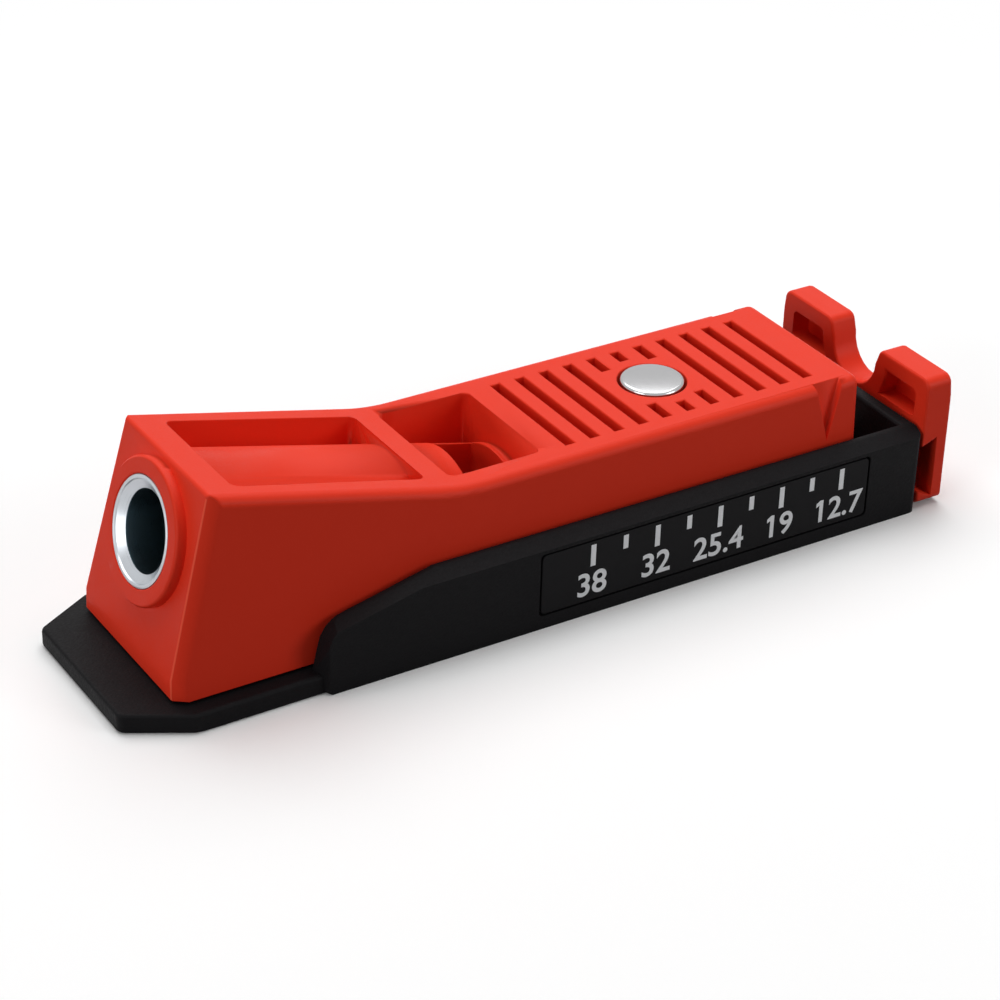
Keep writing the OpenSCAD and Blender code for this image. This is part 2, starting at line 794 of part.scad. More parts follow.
module stop_pivot_screw() {
    head_x = stop_x + stop_t - pivot_head_t - seat_gap;
    tip_x = end_wall_x - washer_t - nut_t;
    color("#a7abb0")
        translate([0, 0, pivot_z]) {
            translate([head_x, 0, 0])
                bar_x_dir(pivot_head_t, pivot_head_d / 2);
            translate([tip_x, 0, 0])
                bar_x_dir(head_x - tip_x, pivot_d / 2);
        }
}

module stop_spring_washer() {
    color("#a7abb0")
        translate([end_wall_x - washer_t, 0, pivot_z])
            difference() {
                bar_x_dir(washer_t, pivot_head_d / 2);
                translate([-over, 0, 0])
                    bar_x_dir(washer_t + 2 * over, pivot_d / 2 + pivot_gap);
            }
}

module stop_nut() {
    color("#a7abb0")
        translate([end_wall_x - washer_t - nut_t, 0, pivot_z])
            difference() {
                rotate([0, 90, 0])
                    cylinder(h = nut_t, r = nut_d / 2, $fn = 6);
                translate([-over, 0, 0])
                    bar_x_dir(nut_t + 2 * over, pivot_d / 2 + seat_gap);
            }
}

sled_base();
scale_plate_near();
scale_plate_far();
guide_body();
drill_bushing();
clamp_magnet();
magnet_backing();
retaining_screws();
edge_stop();
stop_pivot_screw();
stop_spring_washer();
stop_nut();
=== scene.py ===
"""Pocket hole jig, dressed over its construction frame for a studio render.

The frame holds the solids of the jig in metres, with +Z up and the edge stop at +X.
Each sub-assembly is a class that takes its places from the frame, builds its meshes
and gives them their finishes. Lengths are in metres.
"""
from __future__ import annotations

import json
import logging
import math
from dataclasses import dataclass
from enum import Enum

import bmesh
import bpy
from mathutils import Matrix, Vector
from mathutils.bvhtree import BVHTree

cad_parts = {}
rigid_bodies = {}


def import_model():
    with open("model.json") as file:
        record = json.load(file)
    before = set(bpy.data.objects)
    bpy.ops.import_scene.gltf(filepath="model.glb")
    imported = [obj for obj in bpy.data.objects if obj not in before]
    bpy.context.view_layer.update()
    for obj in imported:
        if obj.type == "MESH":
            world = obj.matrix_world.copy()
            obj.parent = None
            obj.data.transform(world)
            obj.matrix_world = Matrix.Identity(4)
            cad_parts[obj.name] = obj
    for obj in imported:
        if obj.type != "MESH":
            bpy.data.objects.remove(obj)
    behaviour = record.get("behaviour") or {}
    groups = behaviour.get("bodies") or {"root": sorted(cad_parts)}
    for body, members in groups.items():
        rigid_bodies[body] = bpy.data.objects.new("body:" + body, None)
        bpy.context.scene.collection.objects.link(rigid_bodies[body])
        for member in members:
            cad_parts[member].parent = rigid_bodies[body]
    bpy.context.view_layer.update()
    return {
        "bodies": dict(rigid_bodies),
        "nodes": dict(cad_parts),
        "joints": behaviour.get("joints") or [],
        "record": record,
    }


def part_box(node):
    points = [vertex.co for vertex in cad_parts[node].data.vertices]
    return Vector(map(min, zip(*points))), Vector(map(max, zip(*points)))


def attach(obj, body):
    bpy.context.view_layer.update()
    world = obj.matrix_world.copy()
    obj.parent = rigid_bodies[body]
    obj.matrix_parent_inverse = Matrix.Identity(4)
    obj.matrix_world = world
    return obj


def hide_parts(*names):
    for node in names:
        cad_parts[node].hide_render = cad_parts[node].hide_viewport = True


LOG = logging.getLogger("pocket_hole_jig")
MM = 0.001
# Vertices of a construction mesh that lie closer together than this are one
MERGE = 0.012 * MM

Colour = tuple[float, float, float]
Point = tuple[float, float, float]
Profile = list[tuple[float, float]]
Ring = list[bmesh.types.BMVert]

WHITE: Colour = (1.0, 1.0, 1.0)


class Body(Enum):
    """The rigid bodies of the jig."""

    SLED = "sled"
    GUIDE = "guide"
    STOP = "stop"


class Finish(Enum):
    """The record's material slots."""

    BLACK = "black_plastic"
    SCALE = "scale_plastic"
    STOP = "stop_plastic"
    RED = "red_plastic"
    BUSHING = "bushing_steel"
    MAGNET = "magnet_plating"
    SCREW = "screw_steel"


class Expr:
    """A shader value that takes part in Python arithmetic."""

    def __init__(self, shader: Shader, socket: bpy.types.NodeSocket) -> None:
        """Wraps one output socket of a shader."""
        self.shader = shader
        self.socket = socket

    def other(self, output: str) -> Expr:
        """Another output of the same node."""
        return Expr(self.shader, self.socket.node.outputs[output])

    def math(self, operation: str, *terms: Expr | float) -> Expr:
        """The result of a Math node on some terms."""
        inputs = dict(enumerate(terms))
        return self.shader.node("ShaderNodeMath", {"operation": operation}, inputs)

    def __add__(self, other: Expr | float) -> Expr:
        """Sum."""
        return self.math("ADD", self, other)

    def __radd__(self, other: float) -> Expr:
        """Sum with a number on the left."""
        return self.math("ADD", other, self)

    def __sub__(self, other: Expr | float) -> Expr:
        """Difference."""
        return self.math("SUBTRACT", self, other)

    def __rsub__(self, other: float) -> Expr:
        """Difference from a number on the left."""
        return self.math("SUBTRACT", other, self)

    def __mul__(self, other: Expr | float) -> Expr:
        """Product."""
        return self.math("MULTIPLY", self, other)

    def __rmul__(self, other: float) -> Expr:
        """Product with a number on the left."""
        return self.math("MULTIPLY", other, self)

    def __truediv__(self, other: Expr | float) -> Expr:
        """Quotient."""
        return self.math("DIVIDE", self, other)

    def __rtruediv__(self, other: float) -> Expr:
        """Quotient of a number on the left."""
        return self.math("DIVIDE", other, self)

    def __abs__(self) -> Expr:
        """Distance from zero."""
        return self.math("ABSOLUTE", self)

    def greater(self, other: Expr | float) -> Expr:
        """1 where this value is the larger one, else 0."""
        return self.math("GREATER_THAN", self, other)

    def larger(self, other: Expr | float) -> Expr:
        """The larger of two values."""
        return self.math("MAXIMUM", self, other)

    def smaller(self, other: Expr | float) -> Expr:
        """The smaller of two values."""
        return self.math("MINIMUM", self, other)

    def swing(self, spread: float) -> Expr:
        """A value from 0 to 1 moved to lie about zero, over that spread."""
        return (self - 0.5) * spread


class Shader:
    """The node tree of a material or world, with one method for every kind of node."""

    def __init__(self, owner: bpy.types.Material | bpy.types.World) -> None:
        """Starts an empty tree.

        Args:
            owner: The material or world that the tree belongs to.
        """
        owner.use_nodes = True
        self.owner = owner
        self.tree = owner.node_tree
        self.tree.nodes.clear()

    def node(
        self,
        kind: str,
        settings: dict[str, object] | None = None,
        inputs: dict[str | int, object] | None = None,
        output: str | int = 0,
    ) -> Expr:
        """Adds a node.

        Args:
            kind: The node's type.
            settings: Its own settings, set first.
            inputs: The values or links of its sockets, by name or number.
            output: The socket that is given back.

        Returns:
            That output, wrapped.
        """
        node = self.tree.nodes.new(kind)
        for key, value in (settings or {}).items():
            setattr(node, key, value)
        for key, value in (inputs or {}).items():
            self.feed(node.inputs[key], value)
        return Expr(self, node.outputs[output])

    def feed(self, socket: bpy.types.NodeSocket, value: object) -> None:
        """Links an expression to a socket, or sets a plain value on it.

        Args:
            socket: The input.
            value: The expression, or a number, vector or colour.
        """
        if isinstance(value, Expr):
            self.tree.links.new(value.socket, socket)
        elif socket.type == "RGBA":
            socket.default_value = (*value, 1.0)
        else:
            socket.default_value = value

    def place(self) -> Expr:
        """Object coordinates, in metres."""
        return self.node("ShaderNodeTexCoord", output="Object")

    def noise(self, place: Expr, size: float, detail: float = 2.0) -> Expr:
        """Noise from 0 to 1 whose grains are about that size."""
        inputs = {"Vector": place, "Scale": 1.0 / size, "Detail": detail}
        return self.node("ShaderNodeTexNoise", None, inputs)

    def vector(self, operation: str, *terms: object, output: str = "Vector") -> Expr:
        """The result of a Vector Math node on some terms."""
        settings = {"operation": operation}
        return self.node("ShaderNodeVectorMath", settings, dict(enumerate(terms)), output)

    def length(self, vector: Expr) -> Expr:
        """The length of a vector."""
        return self.vector("LENGTH", vector, output="Value")

    def split(self, vector: Expr) -> list[Expr]:
        """The X, Y and Z of a vector."""
        x = self.node("ShaderNodeSeparateXYZ", None, {0: vector})
        return [x, x.other("Y"), x.other("Z")]

    def join(self, **axes: Expr) -> Expr:
        """A vector from its X, Y and Z, which are 0 where they are left out."""
        return self.node("ShaderNodeCombineXYZ", None, axes)

    def blend(self, share: Expr, low: Colour | Expr, high: Colour | Expr) -> Expr:
        """Colour between low and high by a share from 0 to 1."""
        inputs = {0: share, 6: low, 7: high}
        return self.node("ShaderNodeMix", {"data_type": "RGBA"}, inputs, 2)

    def bump(self, height: Expr, depth: float, strength: float) -> Expr:
        """Normal for a height from 0 to 1 that stands that deep."""
        inputs = {"Height": height, "Distance": depth, "Strength": strength}
        return self.node("ShaderNodeBump", None, inputs)

    def shown(self, *rays: str) -> Expr:
        """Tells what a ray is for.

        Args:
            *rays: Outputs of a Light Path node.

        Returns:
            1 for a camera ray and for the rays that are named, else 0.
        """
        camera = self.node("ShaderNodeLightPath", output="Is Camera Ray")
        share = camera
        for ray in rays:
            share = share.larger(camera.other(ray))
        return share

    def surface(
        self, kind: str, inputs: dict[str | int, object], end: str = "ShaderNodeOutputMaterial"
    ) -> bpy.types.Material | bpy.types.World:
        """Ends the tree with a surface.

        Args:
            kind: The type of the surface's node.
            inputs: The values or links of its sockets.
            end: The type of the tree's last node.

        Returns:
            The finished material or world.
        """
        output = self.tree.nodes.new(end)
        self.feed(output.inputs["Surface"], self.node(kind, None, inputs))
        return self.owner


@dataclass(frozen=True)
class MouldedPlastic:
    """Injection-moulded plastic with a fine eroded texture. One edge may carry a painted
    highlight.
    """

    colour: Colour
    worn: Colour
    roughness: float
    grain: float
    grain_depth: float
    specular: float
    grain_gloss: float = 0.22
    grain_relief: float = 0.6
    scuff: float = 2.2 * MM
    scuff_gloss: float = 0.12
    flow: float = 14 * MM
    flow_share: float = 0.55
    grain_share: float = 0.3
    scuff_share: float = 0.15
    # Painted highlight: a pale line along one edge in place of the light its rounding catches,
    # with its ends, colour, width and greatest share
    highlight_line: tuple[Vector, Vector] | None = None
    highlight_colour: Colour = (1.0, 0.115, 0.06)
    highlight_w: float = 0.18 * MM
    highlight_cover: float = 0.85

    def build(self, name: str) -> bpy.types.Material:
        """Builds the material.

        Args:
            name: Its name.

        Returns:
            Plastic whose tone, gloss and grain vary as on a moulded part.
        """
        shader = Shader(bpy.data.materials.new(name))
        place = shader.place()
        flow = shader.noise(place, self.flow, detail=3.0)
        grain = shader.noise(place, self.grain, detail=3.0)
        scuff = shader.noise(place, self.scuff, detail=6.0)
        share = flow * self.flow_share + grain * self.grain_share + scuff * self.scuff_share
        tone = shader.blend(share, self.colour, self.worn)
        # Paints the highlight along the edge, in place of the light that its rounding catches
        if self.highlight_line:
            tone = shader.blend(self.edge_highlight(shader, place), tone, self.highlight_colour)
        gloss = grain.swing(self.grain_gloss) + scuff.swing(self.scuff_gloss)
        inputs = {
            "Base Color": tone,
            "Roughness": self.roughness + gloss,
            "Specular IOR Level": self.specular,
            "Normal": shader.bump(grain, self.grain_depth, self.grain_relief),
        }
        return shader.surface("ShaderNodeBsdfPrincipled", inputs)

    def edge_highlight(self, shader: Shader, place: Expr) -> Expr:
        """Finds how strongly the painted highlight lies on the edge, the same on both sides of
        the jig.

        Args:
            shader: The material's tree.
            place: Object coordinates.

        Returns:
            The share of the painted highlight's colour, which is 0 away from the edge.
        """
        start, end = self.highlight_line
        x, y, z = shader.split(place)
        near = shader.join(X=x, Y=abs(y) * -1.0, Z=z.larger(start.z))
        offset = shader.vector("SUBTRACT", near, start)
        away = shader.length(shader.vector("CROSS_PRODUCT", offset, (end - start).normalized()))
        fade = (self.highlight_w - away) / (self.highlight_w / 2)
        below = (end.z - z) / self.highlight_w
        return fade.smaller(below).smaller(self.highlight_cover).larger(0.0)


@dataclass(frozen=True)
class TurnedMetal:
    """Metal turned on a lathe, with fine rings about its own axis."""

    colour: Colour
    dull: Colour
    roughness: float
    ring: float
    origin: Point = (0.0, 0.0, 0.0)
    tilt: float = 0.0
    # Inside this radius the colour is painted shade, standing in for the dark of the deep bore
    bore_r: float = 0.0
    bore: Colour = (0.0, 0.0, 0.0)
    unevenness: float = 1.0
    haze: float = 3.0 * MM
    haze_gloss: float = 0.1
    ring_gloss: float = 0.16
    ring_depth: float = 0.001 * MM
    ring_relief: float = 0.3

    def build(self, name: str) -> bpy.types.Material:
        """Builds the material.

        Args:
            name: Its name.

        Returns:
            Bright metal whose tool marks run round the turning axis, with painted shade inside
            its bore.
        """
        shader = Shader(bpy.data.materials.new(name))
        place = shader.place()
        moved = shader.vector("SUBTRACT", place, self.origin)
        turn = {"Vector": moved, "Rotation": (0.0, -self.tilt, 0.0)}
        along, y, z = shader.split(shader.node("ShaderNodeMapping", None, turn))
        radius = shader.length(shader.join(Y=y, Z=z))
        marks = shader.noise(shader.join(X=radius / self.ring, Y=along / self.ring), 1.0)
        haze = shader.noise(place, self.haze, detail=3.0)
        bright = shader.blend((marks + haze) / 2.0, self.dull, self.colour)
        gloss = marks.swing(self.ring_gloss) + haze.swing(self.haze_gloss)
        depth = self.ring_depth * self.unevenness
        inputs = {
            # Inside the bore the base colour is painted shade
            "Base Color": shader.blend(radius.greater(self.bore_r), self.bore, bright),
            "Metallic": 1.0,
            "Roughness": self.roughness + gloss * self.unevenness,
            "Normal": shader.bump(marks, depth, self.ring_relief),
        }
        return shader.surface("ShaderNodeBsdfPrincipled", inputs)


@dataclass(frozen=True)
class PrintedInk:
    """Pad-printed ink that covers a little unevenly."""

    colour: Colour = (0.93, 0.94, 0.96)
    thin: Colour = (0.88, 0.89, 0.92)
    patch: float = 0.35 * MM
    roughness: float = 0.3
    patch_gloss: float = 0.15
    ior: float = 1.9

    def build(self, name: str) -> bpy.types.Material:
        """Builds the material.

        Args:
            name: Its name.

        Returns:
            Pale ink with a slight sheen.
        """
        shader = Shader(bpy.data.materials.new(name))
        cover = shader.noise(shader.place(), self.patch, detail=4.0)
        inputs = {
            "Base Color": shader.blend(cover, self.thin, self.colour),
            "Roughness": self.roughness + cover * self.patch_gloss,
            "IOR": self.ior,
        }
        return shader.surface("ShaderNodeBsdfPrincipled", inputs)


@dataclass(frozen=True)
class StudioFloor:
    """White sweep that lights the jig less than it shows."""

    bounced: Colour = (0.1, 0.1, 0.1)
    matt_r: float = 0.07
    plain_r: float = 0.2

    def build(self, name: str) -> bpy.types.Material:
        """Builds the material.

        Args:
            name: Its name.

        Returns:
            Matt floor that is white to the camera and in reflections, grey as a lamp, and
            plain white in the picture where it is far from the jig.
        """
        shader = Shader(bpy.data.materials.new(name))
        share = shader.shown("Is Transmission Ray", "Is Glossy Ray")
        colour = shader.blend(share, self.bounced, WHITE)
        matt = shader.node("ShaderNodeBsdfDiffuse", None, {"Color": colour})
        plain = shader.node("ShaderNodeEmission", None, {"Color": WHITE, "Strength": 1.0})
        radius = shader.length(shader.place())
        far = (radius - self.matt_r) / (self.plain_r - self.matt_r)
        share = far.larger(0.0).smaller(1.0) * shader.shown("Is Transmission Ray")
        return shader.surface("ShaderNodeMixShader", {0: share, 1: matt, 2: plain})


def put(data: bpy.types.ID, name: str) -> bpy.types.Object:
    """Links a mesh, a writing, a lamp or a camera to the scene.

    Args:
        data: What the object is to show.
        name: The new object's name.

    Returns:
        The object, at the origin.
    """
    data.name = name
    thing = bpy.data.objects.new(name, data)
    bpy.context.scene.collection.objects.link(thing)
    return thing


def settle(piece: bpy.types.Object) -> bpy.types.Object:
    """Replaces a piece's modifiers by the mesh that they make.

    Args:
        piece: An object with live modifiers.

    Returns:
        The same object with a plain mesh.
    """
    graph = bpy.context.evaluated_depsgraph_get()
    mesh = bpy.data.meshes.new_from_object(piece.evaluated_get(graph))
    piece.modifiers.clear()
    piece.data = mesh
    mesh.name = piece.name
    return piece


def turns(count: int) -> list[float]:
    """The angles of equal steps round a circle, in radians."""
    return [2 * math.pi * step / count for step in range(count)]


def bridge(shape: bmesh.types.BMesh, ring: Ring, following: Ring) -> None:
    """Joins two rings of vertices by a band of faces.

    Args:
        shape: The shape that the rings belong to.
        ring: One ring. Where it is a point, it is one vertex many times.
        following: The next ring, with as many vertices.
    """
    for j in range(len(ring)):
        k = (j + 1) % len(ring)
        corners = [ring[j], following[j], following[k], ring[k]]
        shape.faces.new(list(dict.fromkeys(corners)))


def tube(shape: bmesh.types.BMesh, sections: list[list[Point]]) -> None:
    """Adds a tube with closed ends.

    Args:
        shape: The shape that gets the tube.
        sections: The points of each cross-section, as many in every one.
    """
    rings = [[shape.verts.new(point) for point in section] for section in sections]
    for ring, following in zip(rings, rings[1:]):
        bridge(shape, ring, following)
    shape.faces.new(list(reversed(rings[0])))
    shape.faces.new(rings[-1])


def solid(shape: bmesh.types.BMesh, name: str) -> bpy.types.Object:
    """Makes a closed shape a piece whose faces point outwards.

    Args:
        shape: The shape, which is used up.
        name: The new piece's name.

    Returns:
        The piece, at the origin.
    """
    bmesh.ops.recalc_face_normals(shape, faces=shape.faces)
    mesh = bpy.data.meshes.new(name)
    shape.to_mesh(mesh)
    shape.free()
    return put(mesh, name)


def turned(
    profile: Profile, name: str, place: Matrix, steps: int = 96, sharp: float = 30.0
) -> bpy.types.Object:
    """Turns a closed profile about the X axis.

    Args:
        profile: Points as (place along the axis, radius).
        name: The new piece's name.
        place: Where the turned shape goes.
        steps: Steps round the axis.
        sharp: Least angle of an edge that stays sharp, in degrees.

    Returns:
        The turned piece.
    """
    shape = bmesh.new()
    rings = []
    for x, r in profile:
        if r == 0:
            rings.append([shape.verts.new((x, 0, 0))] * steps)
        else:
            ring = [(x, r * math.cos(turn), r * math.sin(turn)) for turn in turns(steps)]
            rings.append([shape.verts.new(point) for point in ring])
    pairs = list(zip(rings, rings[1:]))
    if profile[0][1] > 0:
        pairs.append((rings[-1], rings[0]))
    for ring, following in pairs:
        bridge(shape, ring, following)
    for face in shape.faces:
        face.smooth = True
    shape.transform(place)
    piece = solid(shape, name)
    piece.data.set_sharp_from_angle(angle=math.radians(sharp))
    return piece


def carve(piece: bpy.types.Object, tool: bpy.types.Object, operation: str) -> None:
    """Cuts or trims a piece with a tool shape, which is then removed.

    Args:
        piece: The piece that stays.
        tool: The shape that is used up.
        operation: DIFFERENCE or INTERSECT.
    """
    cut = piece.modifiers.new("cut", "BOOLEAN")
    cut.operation = operation
    cut.solver = "EXACT"
    cut.object = tool
    settle(piece)
    bpy.data.objects.remove(tool)


@dataclass
class Rounding:
    """Rounds the outer edges of a moulding as far as there is room for it.

    A rounding that folds over or leaves the old surface is narrowed at that place and
    made again. Angles are in degrees, and the shares are of the rounding's width.
    """

    width: float
    sharp: float
    flat: float = 0.6
    room_share: float = 0.4
    segments: int = 3
    fold: float = 157.0
    spike_share: float = 0.45
    tries: int = 8
    narrowings: int = 4
    reach_share: float = 1.5
    reach_growth: float = 0.5
    face_weight: int = 80

    def copy(self, mesh: bpy.types.Mesh, name: str) -> bpy.types.Object:
        """Copies a construction mesh and rounds its outer edges.

        Args:
            mesh: The mesh to copy.
            name: The new piece's name.

        Returns:
            A piece with small rounded edges and flat faces that stay flat.
        """
        piece = put(mesh.copy(), name)
        shape = bmesh.new()
        shape.from_mesh(piece.data)
        bmesh.ops.remove_doubles(shape, verts=shape.verts, dist=MERGE)
        flat = math.radians(self.flat)
        bmesh.ops.dissolve_limit(shape, angle_limit=flat, verts=shape.verts, edges=shape.edges)
        weights = self.weigh(shape)
        for face in shape.faces:
            face.smooth = True
        skin = BVHTree.FromBMesh(shape)
        for attempt in range(self.tries):
            shape.to_mesh(piece.data)
            self.bevel(piece)
            faults = self.faults(piece.data, skin)
            if not faults:
                break
            factor = 0.5 if attempt < self.narrowings else 0.0
            reach = (self.reach_share + self.reach_growth * attempt) * self.width
            for edge in shape.edges:
                if edge[weights] > 0 and self.near(edge, faults, reach):
                    edge[weights] *= factor
        shape.free()
        LOG.info("%s: %d faults left after %d tries", name, len(faults), attempt + 1)
        piece.data.set_sharp_from_angle(angle=math.radians(self.sharp))
        weighted = piece.modifiers.new("normals", "WEIGHTED_NORMAL")
        weighted.weight = self.face_weight
        weighted.keep_sharp = True
        return settle(piece)

    def weigh(self, shape: bmesh.types.BMesh) -> bmesh.types.BMLayerItem:
        """Weights each outer edge by the room beside it.

        Args:
            shape: The moulding.

        Returns:
            The layer that holds the weights, from 0 to 1.
        """
        weights = shape.edges.layers.float.new("bevel_weight_edge")
        for edge in shape.edges:
            outer = edge.is_manifold and edge.is_convex
            if outer and edge.calc_face_angle() > math.radians(self.sharp):
                edge[weights] = min(1.0, self.room_share * self.room(edge) / self.width)
        return weights

    def room(self, edge: bmesh.types.BMEdge) -> float:
        """Measures the room beside an edge.

        Args:
            edge: An edge between two faces.

        Returns:
            Least distance across either face to an edge that runs alongside.
        """
        alongside = 0.5
        slack = 0.001 * MM
        start = edge.verts[0].co
        length = edge.calc_length()
        ray = (edge.verts[1].co - start) / length
        least = 1.0
        for face in edge.link_faces:
            for other in face.edges:
                a, b = (vertex.co for vertex in other.verts)
                if other is edge or abs((b - a).normalized().dot(ray)) < alongside:
                    continue
                for spot in (a, b, (a + b) / 2):
                    along = (spot - start).dot(ray)
                    away = (spot - start - along * ray).length
                    if -slack < along < length + slack and away > slack:
                        least = min(least, away)
        return least

    def bevel(self, piece: bpy.types.Object) -> None:
        """Rounds the edges that carry a weight.

        Args:
            piece: The piece, with its weights.
        """
        bevel = piece.modifiers.new("edges", "BEVEL")
        bevel.width = self.width
        bevel.segments = self.segments
        bevel.limit_method = "WEIGHT"
        bevel.use_clamp_overlap = False
        bevel.loop_slide = False
        settle(piece)

    def faults(self, mesh: bpy.types.Mesh, skin: BVHTree) -> list[Vector]:
        """Finds where a rounding folded over or left the old surface.

        Args:
            mesh: The rounded mesh.
            skin: The surface before it was rounded.

        Returns:
            The places of the folds and spikes.
        """
        shape = bmesh.new()
        shape.from_mesh(mesh)
        fold = math.radians(self.fold)
        folded = [e for e in shape.edges if e.is_manifold and e.calc_face_angle() > fold]
        spots = [vertex.co.copy() for edge in folded for vertex in edge.verts]
        for vertex in shape.verts:
            away = skin.find_nearest(vertex.co)[3]
            if away > self.spike_share * self.width:
                spots.append(vertex.co.copy())
        shape.free()
        return spots

    def near(self, edge: bmesh.types.BMEdge, spots: list[Vector], reach: float) -> bool:
        """Tells whether an edge passes close to a spot.

        Args:
            edge: The edge.
            spots: The places that matter.
            reach: Largest distance that counts as close.

        Returns:
            True if one of the spots is within reach.
        """
        start = edge.verts[0].co
        ray = edge.verts[1].co - start
        for spot in spots:
            share = min(1.0, max(0.0, (spot - start).dot(ray) / ray.length_squared))
            if (start + share * ray - spot).length < reach:
                return True
        return False


@dataclass
class Bench:
    """Holds the construction frame and the materials, and dresses the pieces."""

    frame: dict
    materials: dict[Finish, bpy.types.Material]
    ink: bpy.types.Material

    def rounded(
        self, node: str, name: str, width: float, sharp: float = 25.0
    ) -> bpy.types.Object:
        """Copies a construction node, with the outer edges past that angle rounded."""
        return Rounding(width, sharp).copy(self.frame["nodes"][node].data, name)

    def dress(
        self,
        piece: bpy.types.Object,
        body: Body,
        finish: Finish,
        *nodes: str,
        material: bpy.types.Material | None = None,
    ) -> None:
        """Gives a piece its material, its body and the nodes that it stands for.

        Args:
            piece: The finished object.
            body: The body that it moves with.
            finish: The record's slot for its finish.
            *nodes: The construction nodes that it replaces.
            material: A material other than the slot's own.
        """
        piece.data.materials.clear()
        piece.data.materials.append(material or self.materials[finish])
        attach(piece, body.value)
        if nodes:
            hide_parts(*nodes)
        LOG.info("%s: %d faces on %s", piece.name, len(piece.data.polygons), body.value)

    def paint(self, node: str, finish: Finish) -> None:
        """Gives a construction node that stays in view its material.

        Args:
            node: The node.
            finish: The record's slot for its finish.
        """
        mesh = self.frame["nodes"][node].data
        mesh.materials.clear()
        mesh.materials.append(self.materials[finish])
        LOG.info("%s keeps its own mesh", node)


class CopyTree:
    """A Geometry Nodes tree that puts copies of a shape at points and paints them."""

    def __init__(self, name: str, **kinds: str) -> None:
        """Starts the tree.

        Args:
            name: The tree's name.
            **kinds: Its inputs by name, each with its kind of socket.
        """
        self.tree = bpy.data.node_groups.new(name, "GeometryNodeTree")
        face = self.tree.interface
        kinds["finish"] = "Material"
        self.sockets = {
            key: face.new_socket(key, in_out="INPUT", socket_type="NodeSocket" + kind)
            for key, kind in kinds.items()
        }
        face.new_socket("copies", in_out="OUTPUT", socket_type="NodeSocketGeometry")
        self.start = self.tree.nodes.new("NodeGroupInput").outputs

    def add(
        self, kind: str, output: str, inputs: dict[str, bpy.types.NodeSocket]
    ) -> bpy.types.NodeSocket:
        """Adds a node.

        Args:
            kind: The node's type.
            output: The name of the output that is given back.
            inputs: The links of its sockets, by name.

        Returns:
            That output.
        """
        node = self.tree.nodes.new(kind)
        for key, socket in inputs.items():
            self.tree.links.new(socket, node.inputs[key])
        return node.outputs[output]

    def end(self, points: bpy.types.NodeSocket, shape: bpy.types.NodeSocket) -> None:
        """Puts the shape at the points, makes the copies real and paints them.

        Args:
            points: Where the copies go.
            shape: What is copied.
        """
        places = {"Points": points, "Instance": shape}
        copies = self.add("GeometryNodeInstanceOnPoints", "Instances", places)
        real = self.add("GeometryNodeRealizeInstances", "Geometry", {"Geometry": copies})
        finish = {"Geometry": real, "Material": self.start["finish"]}
        painted = self.add("GeometryNodeSetMaterial", "Geometry", finish)
        self.tree.links.new(painted, self.tree.nodes.new("NodeGroupOutput").inputs["copies"])

    def run(self, mesh: bpy.types.Mesh, name: str, **values: object) -> bpy.types.Object:
        """Runs the tree on a mesh.

        Args:
            mesh: The mesh that the tree starts from.
            name: The new piece's name.
            **values: The tree's other inputs, by name.

        Returns:
            The copies as one piece of plain mesh.
        """
        piece = put(mesh, name)
        nodes = piece.modifiers.new("copies", "NODES")
        nodes.node_group = self.tree
        for key, value in values.items():
            nodes[self.sockets[key].identifier] = value
        piece.update_tag()
        return settle(piece)


class ScrewTree(CopyTree):
    """Copies a screw to the points of the mesh that it runs on."""

    def __init__(self) -> None:
        """Builds the tree."""
        super().__init__("hold_screw_places", points="Geometry", screw="Object")
        screw = self.add("GeometryNodeObjectInfo", "Geometry", {"Object": self.start["screw"]})
        self.end(self.start["points"], screw)


class MarkTree(CopyTree):
    """Draws a row of upright marks."""

    def __init__(self) -> None:
        """Builds the tree."""
        super().__init__("scale_marks", count="Int", first="Vector", step="Vector", size="Vector")
        row = {
            "Count": self.start["count"],
            "Start Location": self.start["first"],
            "Offset": self.start["step"],
        }
        mark = self.add("GeometryNodeMeshCube", "Mesh", {"Size": self.start["size"]})
        self.end(self.add("GeometryNodeMeshLine", "Mesh", row), mark)


